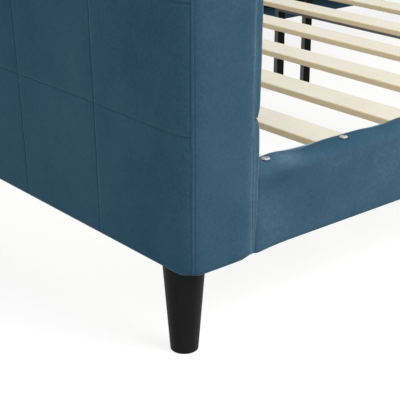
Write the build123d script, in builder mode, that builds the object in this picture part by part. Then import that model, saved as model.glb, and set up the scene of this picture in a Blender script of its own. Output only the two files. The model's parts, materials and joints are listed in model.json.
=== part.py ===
# A day bed in quilted velvet: two padded arms and a padded back round a slatted base.
# +X runs along the bed, -Y is its front and +Z is up.
# The origin is the middle of its footprint, on the floor.
# All lengths are in millimetres.
import os

from build123d import *

os.makedirs("parts", exist_ok=True)

# Overall sizes
overall_length = 2230.0
overall_depth = 1040.0
body_height = 730.0
arm_thickness = 104.0
back_thickness = 100.0
arm_clearance = 120.0
back_clearance = 115.0

# Padding: foam under velvet, sewn through in a grid
pad_thickness = 12.0
seam_depth = 4.0
seam_reach = 24.0
edge_depth = 3.5
edge_reach = 12.0
first_column = 184.0
middle_column_share = 0.204
outer_column_count = 6
inner_column_count = 5
back_column_count = 11
first_row = 168.0
row_count = 4

# Timber and board inside the arms and the back
board_thickness = 3.0
post_width = 70.0
bottom_rail_height = 100.0
top_rail_height = 45.0
back_post_count = 4

# Front rail
rail_setback = 10.0
rail_pad = 6.0
rail_thickness = 24.0
rail_gap = 0.3
rail_crown = 9.0
rail_crown_back = 2.5
rail_crown_share = 0.58
rail_round = 20.0
rail_sag = 2.5
rail_foot_round = 3.0

# Slats and the ledge under their far ends
slat_count = 15
slat_top = 220.0
slat_width = 53.5
slat_thickness = 10.0
slat_edge_round = 2.5
slat_inset = 1.0
slat_end_gap = 4.0
first_slat_offset = 28.6
ledge_width = 25.0
ledge_height = 50.0

# Round-headed slat screws
screw_radius = 2.5
screw_length = 44.0
screw_head_radius = 5.2
screw_head_height = 2.6
screw_drive_radius = 1.5
screw_drive_depth = 1.2
screw_seat_depth = 2.0
screw_seat_margin = 1.0
end_screw_shift = 5.0
ledge_screw_inset = 12.0
hole_clearance = 0.1

# Corner legs and the bolts that hold them
leg_top_radius = 26.3
leg_foot_radius = 17.4
leg_foot_round = 1.5
leg_inset_side = 29.0
leg_inset_front = 50.8
leg_bolt_radius = 4.0
leg_bolt_length = 54.0
leg_bolt_play = 1.0

# Steel frame under the slats
tube_wall = 1.5
beam_width = 20.0
beam_height = 20.0
beam_setback = 120.0
end_plate_size = 44.0
end_plate_thickness = 3.0
tie_width = 20.0
tie_height = 20.0
tie_drop = 10.0
tie_offset = 212.0
support_width = 20.0
support_depth = 11.0
support_offsets = (207.0, 124.5)
cap_base = 3.0
cap_plug = 14.0
cap_play = 0.1

# Brackets and frame bolts
bracket_thickness = 3.0
bracket_reach = 46.0
bracket_height = 60.0
bracket_level = 136.0
frame_bolt_radius = 4.0
frame_bolt_head_radius = 7.5
frame_bolt_head_height = 5.3
frame_bolt_grip = 25.0
frame_bolt_spacing = 36.0
frame_bolt_offset = 23.0
back_bolt_reach = 45.0
back_bolt_pocket = 8.0
back_bolt_pocket_play = 1.0
back_bolt_level_shares = (0.25, 0.75)

# Planes and heights that follow from the sizes above
half_length = overall_length / 2
front_face = -overall_depth / 2
rear_face = overall_depth / 2
core_top = body_height - pad_thickness
arm_inner_x = half_length - arm_thickness
arm_core_inner_x = arm_inner_x + pad_thickness
arm_core_outer_x = half_length - pad_thickness
back_face = rear_face - back_thickness
back_core_front = back_face + pad_thickness
back_core_rear = rear_face - pad_thickness
arm_core_front = front_face + pad_thickness
slat_bottom = slat_top - slat_thickness
rail_front = front_face + rail_setback
rail_board_front = rail_front + rail_pad
rail_board_back = rail_board_front + rail_thickness
bay_half = arm_inner_x - rail_gap
first_slat_x = -arm_inner_x + first_slat_offset
slat_pitch = -2 * first_slat_x / (slat_count - 1)
slat_centres = [first_slat_x + slat_pitch * index for index in range(slat_count)]
slat_front = rail_board_front + slat_inset
slat_back = back_face - slat_end_gap
ledge_back = back_face - rail_gap
ledge_front = ledge_back - ledge_width

east = Vector(1, 0, 0)
north = Vector(0, 1, 0)
up = Vector(0, 0, 1)


def keep(part, node):
    # Names a finished piece and writes it.
    part.label = node
    export_step(part, f"parts/{node}.step")


def block(low, high):
    # A plain bar or board between two corners.
    with BuildPart() as bar:
        with BuildSketch(Plane.XY.offset(low[2])):
            with Locations(((low[0] + high[0]) / 2, (low[1] + high[1]) / 2)):
                Rectangle(high[0] - low[0], high[1] - low[1])
        extrude(amount=high[2] - low[2])
    return bar.part


def between(x_low, x_high, side):
    # A stretch of X on the left (side -1) or right (side 1), lowest first.
    return sorted((side * x_low, side * x_high))


def even_cells(first, total, count):
    # A first cell of its own width, then equal cells over what is left.
    rest = (total - first) / (count - 1)
    return [first] + [rest] * (count - 1)


def shared_cells(first, total, count, share):
    # A first cell of its own width, middle cells of one share of what is left, and a last cell.
    rest = total - first
    middle = [rest * share] * (count - 2)
    return [first] + middle + [rest - sum(middle)]


def puffed_edge(cells):
    # The outline of padding over a row of cells: flat crowns that roll down to the seams and ends.
    total = sum(cells)
    crown = pad_thickness
    left = 0.0
    Line((0, 0), (0, crown - edge_depth))
    for index, width in enumerate(cells):
        right = left + width
        left_depth, left_reach = (edge_depth, edge_reach) if index == 0 else (seam_depth, seam_reach)
        last = index == len(cells) - 1
        right_depth, right_reach = (edge_depth, edge_reach) if last else (seam_depth, seam_reach)
        TangentArc((left + left_reach, crown), (left, crown - left_depth), tangent=(-1, 0))
        Line((left + left_reach, crown), (right - right_reach, crown))
        TangentArc((right - right_reach, crown), (right, crown - right_depth), tangent=(1, 0))
        left = right
    Line((total, crown - edge_depth), (total, 0))
    Line((total, 0), (0, 0))


def padded_cover(corner, along, rise, outward, columns, rows, mitres):
    # A padded skin on a core face. It is the space common to the puffed outline across the columns and
    # the one up the rows, so every cell is a pillow between sewn channels. Each mitre is a neighbour's
    # outward direction and a point on the shared edge.
    width = sum(columns)
    height = sum(rows)
    across = Plane(origin=corner, x_dir=along, z_dir=along.cross(outward))
    upward = Plane(origin=corner, x_dir=rise, z_dir=rise.cross(outward))
    with BuildPart() as cover:
        with BuildSketch(across):
            with BuildLine():
                puffed_edge(columns)
            make_face()
        extrude(amount=height * rise.dot(across.z_dir))
        with BuildSketch(upward):
            with BuildLine():
                puffed_edge(rows)
            make_face()
        extrude(amount=width * along.dot(upward.z_dir), mode=Mode.INTERSECT)
        for neighbour, point in mitres:
            split(bisect_by=Plane(origin=point, z_dir=neighbour - outward), keep=Keep.BOTTOM)
    return cover.part


def drilled(part, points, direction, radius, depth):
    # Cuts round holes that start at the points and run along a direction.
    with BuildPart() as work:
        add(part)
        for point in points:
            with BuildSketch(Plane(origin=point, z_dir=direction)):
                Circle(radius)
            extrude(amount=depth, mode=Mode.SUBTRACT)
    return work.part


def hex_bolt(point, direction, length):
    # A bolt whose head bears at the point and whose shank runs along the direction.
    with BuildPart() as bolt:
        with BuildSketch(Plane(origin=point, z_dir=direction)):
            Circle(frame_bolt_radius)
        extrude(amount=length)
        with BuildSketch(Plane(origin=point, z_dir=direction)):
            RegularPolygon(frame_bolt_head_radius, 6)
        extrude(amount=-frame_bolt_head_height)
    return bolt.part


def group(parts):
    # Separate solids that share one node.
    with BuildPart() as together:
        for part in parts:
            add(part)
    return together.part


# Where the bolts stand
rail_bolt_y = rail_board_back + bracket_thickness + frame_bolt_offset
rail_bolt_levels = [bracket_level + (bracket_height - frame_bolt_spacing) / 2]
rail_bolt_levels.append(rail_bolt_levels[0] + frame_bolt_spacing)
post_base = arm_clearance + bottom_rail_height
post_top = core_top - top_rail_height
back_post_base = back_clearance + bottom_rail_height
back_post_height = post_top - back_post_base
back_bolt_levels = [back_post_base + back_post_height * share for share in back_bolt_level_shares]
back_bolt_y = (back_core_front + back_core_rear) / 2
beam_back = back_face - beam_setback
beam_front = beam_back - beam_width
tie_front = rail_board_back + end_plate_thickness


def rail_bolt_points(side, x):
    return [Vector(side * x, rail_bolt_y, level) for level in rail_bolt_levels]


def back_bolt_points(side, x):
    return [Vector(side * x, back_bolt_y, level) for level in back_bolt_levels]


def build_arm(side, name):
    outward = east * side
    timber_x = between(arm_core_inner_x + board_thickness, arm_core_outer_x - board_thickness, side)
    outer_board_x = between(arm_core_outer_x - board_thickness, arm_core_outer_x, side)
    inner_board_x = between(arm_core_inner_x, arm_core_inner_x + board_thickness, side)

    # Timber core: a sill that takes the legs and the front rail, three posts and a top rail
    sill = block((timber_x[0], arm_core_front, arm_clearance), (timber_x[1], back_core_rear, post_base))
    leg_holes = [
        Vector(side * (half_length - leg_inset_side), end * (rear_face - leg_inset_front), arm_clearance)
        for end in (-1, 1)
    ]
    leg_hole_depth = leg_bolt_length / 2 + leg_bolt_play
    sill = drilled(sill, leg_holes, up, leg_bolt_radius + hole_clearance, leg_hole_depth)
    timber_inner = arm_core_inner_x + board_thickness
    bolt_hole_radius = frame_bolt_radius + hole_clearance
    rail_holes = rail_bolt_points(side, timber_inner)
    sill = drilled(sill, rail_holes, outward, bolt_hole_radius, frame_bolt_grip + leg_bolt_play)
    keep(sill, f"{name}_arm_bottom_rail")
    keep(
        block((timber_x[0], arm_core_front, post_top), (timber_x[1], back_core_rear, core_top)),
        f"{name}_arm_top_rail",
    )
    post_fronts = (arm_core_front, -post_width / 2, back_core_rear - post_width)
    posts = [
        block((timber_x[0], start, post_base), (timber_x[1], start + post_width, post_top))
        for start in post_fronts
    ]
    back_holes = back_bolt_points(side, timber_inner)
    posts[-1] = drilled(posts[-1], back_holes, outward, bolt_hole_radius, back_bolt_reach + leg_bolt_play)
    keep(group(posts), f"{name}_arm_posts")

    # Thin boards that close both faces of the core
    outer_board = block(
        (outer_board_x[0], arm_core_front, arm_clearance), (outer_board_x[1], back_core_rear, core_top)
    )
    keep(outer_board, f"{name}_arm_outer_board")
    inner_board = block(
        (inner_board_x[0], arm_core_front, arm_clearance), (inner_board_x[1], back_core_rear, core_top)
    )
    board_holes = rail_bolt_points(side, arm_core_inner_x) + back_bolt_points(side, arm_core_inner_x)
    inner_board = drilled(inner_board, board_holes, outward, bolt_hole_radius, board_thickness)
    keep(inner_board, f"{name}_arm_inner_board")

    # Padded skins, mitred to each other at the corners
    front_corner = Vector(side * half_length, front_face, body_height)
    rear_corner = Vector(side * half_length, rear_face, body_height)
    inner_corner = Vector(side * arm_inner_x, front_face, body_height)
    rise = body_height - arm_clearance
    rows = even_cells(first_row, rise, row_count)
    outer_columns = shared_cells(first_column, overall_depth, outer_column_count, middle_column_share)
    keep(
        padded_cover(
            Vector(side * arm_core_outer_x, front_face, arm_clearance),
            north,
            up,
            outward,
            outer_columns,
            rows,
            [(north * -1, front_corner), (north, rear_corner), (up, front_corner)],
        ),
        f"{name}_arm_outer_cover",
    )
    inner_columns = even_cells(first_column, back_core_front - front_face, inner_column_count)
    inner_cover = padded_cover(
        Vector(side * arm_core_inner_x, front_face, arm_clearance),
        north,
        up,
        outward * -1,
        inner_columns,
        rows,
        [(north * -1, inner_corner), (up, inner_corner)],
    )
    inner_holes = rail_bolt_points(side, arm_inner_x)
    keep(
        drilled(inner_cover, inner_holes, outward, bolt_hole_radius, pad_thickness),
        f"{name}_arm_inner_cover",
    )
    keep(
        padded_cover(
            Vector(side * half_length, arm_core_front, arm_clearance),
            outward * -1,
            up,
            north * -1,
            [arm_thickness],
            [rise],
            [(outward, front_corner), (outward * -1, inner_corner), (up, front_corner)],
        ),
        f"{name}_arm_front_cover",
    )
    keep(
        padded_cover(
            Vector(side * half_length, back_core_rear, arm_clearance),
            outward * -1,
            up,
            north,
            [arm_thickness],
            [rise],
            [(outward, rear_corner), (up, rear_corner)],
        ),
        f"{name}_arm_rear_cover",
    )
    keep(
        padded_cover(
            Vector(side * half_length, front_face, core_top),
            outward * -1,
            north,
            up,
            [arm_thickness],
            [overall_depth],
            [
                (outward, front_corner),
                (outward * -1, inner_corner),
                (north * -1, front_corner),
                (north, rear_corner),
            ],
        ),
        f"{name}_arm_top_cover",
    )


build_arm(-1, "left")
build_arm(1, "right")

# Back: the same core and skins between the arms
timber_front = back_core_front + board_thickness
timber_rear = back_core_rear - board_thickness
core_half = arm_core_inner_x
keep(
    block((-core_half, timber_front, back_clearance), (core_half, timber_rear, back_post_base)),
    "back_bottom_rail",
)
keep(block((-core_half, timber_front, post_top), (core_half, timber_rear, core_top)), "back_top_rail")
back_post_step = (2 * core_half - post_width) / (back_post_count - 1)
back_posts = []
for index in range(back_post_count):
    start = -core_half + back_post_step * index
    post = block((start, timber_front, back_post_base), (start + post_width, timber_rear, post_top))
    if index in (0, back_post_count - 1):
        side = -1 if index == 0 else 1
        shank_start = back_bolt_points(side, core_half)
        post = drilled(post, shank_start, east * -side, frame_bolt_radius + hole_clearance, post_width)
        pocket_start = back_bolt_points(side, core_half - post_width)
        pocket_radius = frame_bolt_head_radius + back_bolt_pocket_play
        post = drilled(post, pocket_start, east * side, pocket_radius, back_bolt_pocket)
    back_posts.append(post)
keep(group(back_posts), "back_posts")
keep(
    block((-core_half, back_core_front, back_clearance), (core_half, timber_front, core_top)),
    "back_front_board",
)
keep(
    block((-core_half, timber_rear, back_clearance), (core_half, back_core_rear, core_top)),
    "back_rear_board",
)
back_rise = body_height - back_clearance
back_first_row = first_row + arm_clearance - back_clearance
back_rows = even_cells(back_first_row, back_rise, row_count)
back_columns = [2 * bay_half / back_column_count] * back_column_count
back_top_front = Vector(0, back_face, body_height)
back_top_rear = Vector(0, rear_face, body_height)
keep(
    padded_cover(
        Vector(-bay_half, back_core_front, back_clearance),
        east,
        up,
        north * -1,
        back_columns,
        back_rows,
        [(up, back_top_front)],
    ),
    "back_front_cover",
)
keep(
    padded_cover(
        Vector(-bay_half, back_core_rear, back_clearance),
        east,
        up,
        north,
        [2 * bay_half],
        [back_rise],
        [(up, back_top_rear)],
    ),
    "back_rear_cover",
)
keep(
    padded_cover(
        Vector(-bay_half, back_face, core_top),
        east,
        north,
        up,
        [2 * bay_half],
        [back_thickness],
        [(north * -1, back_top_front), (north, back_top_rear)],
    ),
    "back_top_cover",
)

# Slat screw places: the two end screws stand a little towards the middle
screw_y = (rail_board_front + rail_board_back) / 2
screw_xs = list(slat_centres)
screw_xs[0] += end_screw_shift
screw_xs[-1] -= end_screw_shift
ledge_screw_y = ledge_back - ledge_screw_inset
screw_hole_radius = screw_radius + hole_clearance
screw_seat_z = slat_top + rail_crown - screw_seat_depth
down = up * -1

# Front rail: a timber board that the slat ends rest on
front_rail = block((-bay_half, rail_board_front, arm_clearance), (bay_half, rail_board_back, slat_bottom))
front_rail = drilled(
    front_rail, [Vector(x, screw_y, slat_bottom) for x in screw_xs], down, screw_hole_radius, screw_length
)
keep(front_rail, "front_rail")

# Its padded cover folds over the slat ends, and sags a little between one slat and the next
crown_z = slat_top + rail_crown
crown_y = rail_front + (rail_board_back - rail_front) * rail_crown_share
with BuildPart() as front_rail_cover:
    with BuildSketch(Plane.YZ.offset(-bay_half)):
        with BuildLine():
            Line((rail_board_front, arm_clearance), (rail_front + rail_foot_round, arm_clearance))
            TangentArc(
                (rail_front + rail_foot_round, arm_clearance),
                (rail_front, arm_clearance + rail_foot_round),
                tangent=(-1, 0),
            )
            Line((rail_front, arm_clearance + rail_foot_round), (rail_front, crown_z - rail_round))
            TangentArc((rail_front, crown_z - rail_round), (crown_y, crown_z), tangent=(0, 1))
            ThreePointArc(
                (crown_y, crown_z),
                ((crown_y + rail_board_back) / 2, crown_z - rail_crown_back),
                (rail_board_back, slat_top + rail_crown_back),
            )
            Line((rail_board_back, slat_top + rail_crown_back), (rail_board_back, slat_top))
            Line((rail_board_back, slat_top), (rail_board_front, slat_top))
            Line((rail_board_front, slat_top), (rail_board_front, arm_clearance))
        make_face()
    extrude(amount=2 * bay_half)
    with BuildSketch(Plane.XZ.offset(-rail_front)):
        with BuildLine():
            Line((-bay_half, arm_clearance), (-bay_half, crown_z))
            level_start = -bay_half
            for index in range(slat_count - 1):
                dip_start = slat_centres[index] + slat_width / 2
                dip_end = slat_centres[index + 1] - slat_width / 2
                Line((level_start, crown_z), (dip_start, crown_z))
                ThreePointArc(
                    (dip_start, crown_z),
                    ((dip_start + dip_end) / 2, crown_z - rail_sag),
                    (dip_end, crown_z),
                )
                level_start = dip_end
            Line((level_start, crown_z), (bay_half, crown_z))
            Line((bay_half, crown_z), (bay_half, arm_clearance))
            Line((bay_half, arm_clearance), (-bay_half, arm_clearance))
        make_face()
    extrude(amount=-(rail_board_back - rail_front), mode=Mode.INTERSECT)
    for x in screw_xs:
        with BuildSketch(Plane(origin=(x, screw_y, screw_seat_z), z_dir=up)):
            Circle(screw_head_radius + screw_seat_margin)
        extrude(amount=rail_crown, mode=Mode.SUBTRACT)
        with BuildSketch(Plane(origin=(x, screw_y, screw_seat_z), z_dir=down)):
            Circle(screw_hole_radius)
        extrude(amount=rail_crown, mode=Mode.SUBTRACT)
keep(front_rail_cover.part, "front_rail_cover")

# Ledge on the back that carries the slats' far ends
ledge = block((-bay_half, ledge_front, slat_bottom - ledge_height), (bay_half, ledge_back, slat_bottom))
ledge_holes = [Vector(x, ledge_screw_y, slat_bottom) for x in slat_centres]
ledge = drilled(ledge, ledge_holes, down, screw_hole_radius, screw_length)
keep(ledge, "rear_slat_ledge")

# Plywood slats, each held by a screw at both ends
for index, centre in enumerate(slat_centres):
    with BuildPart() as slat:
        with BuildSketch(Plane.XY.offset(slat_bottom)):
            with Locations((centre, (slat_front + slat_back) / 2)):
                Rectangle(slat_width, slat_back - slat_front)
        extrude(amount=slat_thickness)
        fillet(slat.edges().filter_by(Axis.Y), slat_edge_round)
    slat_holes = [Vector(screw_xs[index], screw_y, slat_top), Vector(centre, ledge_screw_y, slat_top)]
    keep(drilled(slat.part, slat_holes, down, screw_hole_radius, slat_thickness), f"slat_{index + 1:02d}")

# One round-headed screw, its head bearing at the origin
with BuildPart() as screw:
    with BuildSketch(Plane.XZ):
        with BuildLine():
            Line((0, -screw_length), (screw_radius, screw_radius - screw_length))
            Line((screw_radius, screw_radius - screw_length), (screw_radius, 0))
            Line((screw_radius, 0), (screw_head_radius, 0))
            ThreePointArc(
                (screw_head_radius, 0),
                ((screw_head_radius + screw_drive_radius) / 2, screw_head_height * 3 / 4),
                (screw_drive_radius, screw_head_height),
            )
            Line((screw_drive_radius, screw_head_height), (0, screw_head_height - screw_drive_depth))
            Line((0, screw_head_height - screw_drive_depth), (0, -screw_length))
        make_face()
    revolve(axis=Axis.Z)
with BuildPart() as slat_screws:
    with Locations(*[(x, screw_y, screw_seat_z) for x in screw_xs]):
        add(screw.part)
    with Locations(*[(x, ledge_screw_y, slat_top) for x in slat_centres]):
        add(screw.part)
keep(slat_screws.part, "slat_screws")

# Steel frame: a long beam from arm to arm, a tie from it to the front rail, and two flat legs
def tube(section, x_size, y_size, length):
    # A hollow bar along the normal of its section plane.
    with BuildPart() as hollow:
        with BuildSketch(section):
            Rectangle(x_size, y_size)
            Rectangle(x_size - 2 * tube_wall, y_size - 2 * tube_wall, mode=Mode.SUBTRACT)
        extrude(amount=length)
    return hollow.part


beam_end = bay_half - end_plate_thickness
beam_middle_y = (beam_front + beam_back) / 2
beam_middle_z = slat_bottom - beam_height / 2
beam_section = Plane(origin=(-beam_end, beam_middle_y, beam_middle_z), x_dir=north, z_dir=east)
keep(tube(beam_section, beam_width, beam_height, 2 * beam_end), "long_beam")

tie_middle_z = slat_bottom - tie_drop - tie_height / 2
tie_section = Plane(origin=(-tie_offset, tie_front, tie_middle_z), x_dir=east, z_dir=north)
keep(tube(tie_section, tie_width, tie_height, beam_front - tie_front), "cross_tie")

# Plates that join the beam to both arms and the tie to the front rail
end_plates = []
plate_bottom = slat_bottom - end_plate_size
for side in (-1, 1):
    plate_x = between(beam_end, bay_half, side)
    plate_low = (plate_x[0], beam_middle_y - end_plate_size / 2, plate_bottom)
    plate_high = (plate_x[1], beam_middle_y + end_plate_size / 2, slat_bottom)
    end_plates.append(block(plate_low, plate_high))
tie_plate_low = (-tie_offset - end_plate_size / 2, rail_board_back, plate_bottom)
tie_plate_high = (-tie_offset + end_plate_size / 2, tie_front, slat_bottom)
end_plates.append(block(tie_plate_low, tie_plate_high))
keep(group(end_plates), "end_plates")

support_middle_y = beam_front + support_depth / 2
supports = []
caps = []
plug_width = support_width - 2 * tube_wall - 2 * cap_play
plug_depth = support_depth - 2 * tube_wall - 2 * cap_play
for offset in support_offsets:
    x = -offset
    support_section = Plane(origin=(x, support_middle_y, cap_base), x_dir=east, z_dir=up)
    support_length = slat_bottom - beam_height - cap_base
    supports.append(tube(support_section, support_width, support_depth, support_length))
    with BuildPart() as cap:
        with BuildSketch(Plane(origin=(x, support_middle_y, 0), z_dir=up)):
            Rectangle(support_width, support_depth)
        extrude(amount=cap_base)
        with BuildSketch(Plane(origin=(x, support_middle_y, cap_base), z_dir=up)):
            Rectangle(plug_width, plug_depth)
        extrude(amount=cap_plug)
    caps.append(cap.part)
keep(group(supports), "support_legs")
keep(group(caps), "support_leg_caps")

# Tapered corner legs, each on a bolt through its top
with BuildPart() as corner_leg:
    with BuildSketch(Plane.XZ):
        with BuildLine():
            Line((0, 0), (leg_foot_radius - leg_foot_round, 0))
            TangentArc(
                (leg_foot_radius - leg_foot_round, 0), (leg_foot_radius, leg_foot_round), tangent=(1, 0)
            )
            Line((leg_foot_radius, leg_foot_round), (leg_top_radius, arm_clearance))
            Line((leg_top_radius, arm_clearance), (0, arm_clearance))
            Line((0, arm_clearance), (0, 0))
        make_face()
    revolve(axis=Axis.Z)
    with BuildSketch(Plane.XY.offset(arm_clearance)):
        Circle(leg_bolt_radius + hole_clearance)
    extrude(amount=-(leg_bolt_length / 2 + leg_bolt_play), mode=Mode.SUBTRACT)
leg_places = {
    f"{end_name}_{side_name}_leg": (
        side * (half_length - leg_inset_side),
        end * (rear_face - leg_inset_front),
    )
    for end_name, end in (("front", -1), ("rear", 1))
    for side_name, side in (("left", -1), ("right", 1))
}
for node, place in leg_places.items():
    with BuildPart() as placed_leg:
        with Locations(place):
            add(corner_leg.part)
    keep(placed_leg.part, node)
with BuildPart() as leg_bolts:
    for place in leg_places.values():
        with BuildSketch(Plane.XY.offset(arm_clearance - leg_bolt_length / 2)):
            with Locations(place):
                Circle(leg_bolt_radius)
        extrude(amount=leg_bolt_length)
keep(leg_bolts.part, "leg_bolts")

# Angle brackets between the front rail and the arms, and the bolts that join rail, arms and back
brackets = []
bolts = []
for side in (-1, 1):
    foot_x = between(bay_half - bracket_thickness, bay_half, side)
    arm_x = between(bay_half - bracket_reach, bay_half, side)
    flange_back = rail_board_back + bracket_thickness
    bracket_top = bracket_level + bracket_height
    along_rail = block((arm_x[0], rail_board_back, bracket_level), (arm_x[1], flange_back, bracket_top))
    along_arm = block(
        (foot_x[0], flange_back, bracket_level),
        (foot_x[1], flange_back + bracket_reach, bracket_top),
    )
    bracket = group([along_rail, along_arm])
    bolt_face = bay_half - bracket_thickness
    bracket_holes = rail_bolt_points(side, bolt_face)
    outward = east * side
    bolt_hole_radius = frame_bolt_radius + hole_clearance
    brackets.append(drilled(bracket, bracket_holes, outward, bolt_hole_radius, bracket_thickness))
    rail_bolt_length = arm_core_inner_x + board_thickness + frame_bolt_grip - bolt_face
    for point in bracket_holes:
        bolts.append(hex_bolt(point, outward, rail_bolt_length))
    head_face = core_half - post_width + back_bolt_pocket
    back_bolt_length = post_width - back_bolt_pocket + board_thickness + back_bolt_reach
    for point in back_bolt_points(side, head_face):
        bolts.append(hex_bolt(point, outward, back_bolt_length))
keep(group(brackets), "rail_brackets")
keep(group(bolts), "frame_bolts")
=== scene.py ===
import json
import math
import random

import bmesh
import bpy
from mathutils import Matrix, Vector, noise


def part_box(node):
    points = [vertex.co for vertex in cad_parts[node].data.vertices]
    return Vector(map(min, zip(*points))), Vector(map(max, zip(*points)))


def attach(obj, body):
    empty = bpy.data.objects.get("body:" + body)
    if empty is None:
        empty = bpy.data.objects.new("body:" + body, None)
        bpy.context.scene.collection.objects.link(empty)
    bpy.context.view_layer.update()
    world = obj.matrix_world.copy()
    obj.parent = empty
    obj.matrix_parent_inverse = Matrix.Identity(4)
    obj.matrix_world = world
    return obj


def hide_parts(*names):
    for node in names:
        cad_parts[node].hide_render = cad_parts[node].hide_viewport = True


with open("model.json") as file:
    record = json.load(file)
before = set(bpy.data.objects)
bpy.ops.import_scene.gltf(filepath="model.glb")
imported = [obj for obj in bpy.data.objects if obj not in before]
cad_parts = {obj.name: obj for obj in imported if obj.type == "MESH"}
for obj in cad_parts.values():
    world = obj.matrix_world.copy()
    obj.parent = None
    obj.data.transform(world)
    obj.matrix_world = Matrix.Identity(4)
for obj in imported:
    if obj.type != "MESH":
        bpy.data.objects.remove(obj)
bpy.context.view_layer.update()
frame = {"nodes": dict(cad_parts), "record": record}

# A day bed: quilted velvet arms and back round a slatted base, lengths in metres
mm = 0.001
nodes = frame["nodes"]
print("frame loaded:", len(nodes), "nodes")

# Sizes of the bed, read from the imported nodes
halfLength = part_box("right_arm_outer_cover")[1].x
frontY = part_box("left_arm_front_cover")[0].y
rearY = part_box("left_arm_rear_cover")[1].y
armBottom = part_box("left_arm_outer_cover")[0].z
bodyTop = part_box("left_arm_top_cover")[1].z
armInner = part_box("right_arm_inner_cover")[0].x
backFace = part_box("back_front_cover")[0].y
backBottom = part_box("back_front_cover")[0].z
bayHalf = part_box("back_front_cover")[1].x
armThickness = halfLength - armInner
bodyDepth = rearY - frontY
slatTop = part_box("slat_01")[1].z
railLow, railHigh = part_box("front_rail_cover")
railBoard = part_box("front_rail")


# Shader maths: a wire is a socket that takes part in sums
class Wire:
    def __init__(self, network, socket):
        self.network = network
        self.socket = socket

    def sum(self, operation, other=0.0, swapped=False):
        pair = [other, self] if swapped else [self, other]
        return self.network.node("ShaderNodeMath", {"operation": operation}, dict(enumerate(pair)))

    def __add__(self, other):
        return self.sum("ADD", other)

    def __radd__(self, other):
        return self.sum("ADD", other, True)

    def __sub__(self, other):
        return self.sum("SUBTRACT", other)

    def __rsub__(self, other):
        return self.sum("SUBTRACT", other, True)

    def __mul__(self, other):
        return self.sum("MULTIPLY", other)

    def __rmul__(self, other):
        return self.sum("MULTIPLY", other, True)

    def above(self, level):
        return self.sum("GREATER_THAN", level)

    def orMore(self, other):
        return self.sum("MAXIMUM", other)


class Network:
    def __init__(self, tree):
        self.tree = tree

    def node(self, kind, settings, values, output=0):
        made = self.tree.nodes.new(kind)
        for key, value in settings.items():
            if key == "stops":
                for index, (position, colour) in enumerate(value):
                    stops = made.color_ramp.elements
                    stop = stops[index] if index < len(stops) else stops.new(position)
                    stop.position = position
                    stop.color = (*colour, 1)
            else:
                setattr(made, key, value)
        for key, value in values.items():
            if isinstance(value, Wire):
                self.tree.links.new(value.socket, made.inputs[key])
            else:
                made.inputs[key].default_value = value
        return Wire(self, made.outputs[output])

    def seen(self):
        # One for what the camera sees, directly or in gloss or glass, nought for the light on the bed
        camera, glossy, clear = (
            self.node("ShaderNodeLightPath", {}, {}, f"Is {kind} Ray")
            for kind in ("Camera", "Glossy", "Transmission")
        )
        return camera.orMore(glossy).orMore(clear)


class Shader(Network):
    def __init__(self, name):
        self.material = bpy.data.materials.new(name)
        self.material.use_nodes = True
        super().__init__(self.material.node_tree)
        self.surface = self.tree.nodes["Principled BSDF"]
        self.place = self.node("ShaderNodeTexCoord", {}, {}, "Object")

    def pattern(self, scale, detail, rough):
        # Noise over the piece's own place: one scale keeps it even, three scales stretch it
        vector = self.place
        if isinstance(scale, tuple):
            vector = self.node("ShaderNodeMapping", {}, {"Vector": self.place, "Scale": scale})
            scale = 1.0
        values = {"Vector": vector, "Scale": scale, "Detail": detail, "Roughness": rough}
        return self.node("ShaderNodeTexNoise", {}, values, "Fac")

    def normal(self, axis):
        turned = self.node("ShaderNodeTexCoord", {}, {}, "Normal")
        return self.node("ShaderNodeSeparateXYZ", {}, {"Vector": turned}, axis)

    def ramp(self, factor, positions, colours):
        stops = list(zip(positions, colours))
        return self.node("ShaderNodeValToRGB", {"stops": stops}, {"Fac": factor}, "Color")

    def mix(self, factor, *colours):
        # A Mix node has its colours at sockets 6 and 7, and its colour output is the third
        first, second = (item if isinstance(item, Wire) else (*item, 1) for item in colours)
        values = {0: factor, 6: first, 7: second}
        return self.node("ShaderNodeMix", {"data_type": "RGBA"}, values, 2)

    def bump(self, height, strength, distance):
        values = {"Height": height, "Strength": strength, "Distance": distance}
        self.wire("Normal", self.node("ShaderNodeBump", {}, values))

    def wire(self, socket, wire):
        self.tree.links.new(wire.socket, self.surface.inputs[socket])

    def set(self, **values):
        for key, value in values.items():
            self.surface.inputs[key.replace("_", " ")].default_value = value


# Finishes: each pattern is its scale, its detail and its roughness
pile = {
    "deep": (0.014, 0.057, 0.093),
    "mid": (0.026, 0.077, 0.122),
    "light": (0.045, 0.1, 0.147),
    "bright": (0.09, 0.175, 0.24),
    "positions": (0.36, 0.5, 0.64, 0.86),
    "patches": (6.0, 3.0, 0.6),
    "marks": ((42, 42, 30), 3.0, 0.6),
    "grain": (260.0, 3.0, 0.75),
    "patchShare": 0.34,
    "markShare": 0.12,
    "grainShare": 0.3,
    "paintedFrontLight": 0.04,
    "shadeShare": 0.14,
    "coverNap": 0.125,
    "railNap": 0.185,
    "rough": (0.74, 0.16),
    "sheenRough": 0.24,
    "sheenTint": (0.54, 0.74, 0.86, 1),
    "specular": 0.12,
    "markBump": 0.8,
    "bump": (0.3, 0.35 * mm),
}


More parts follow.
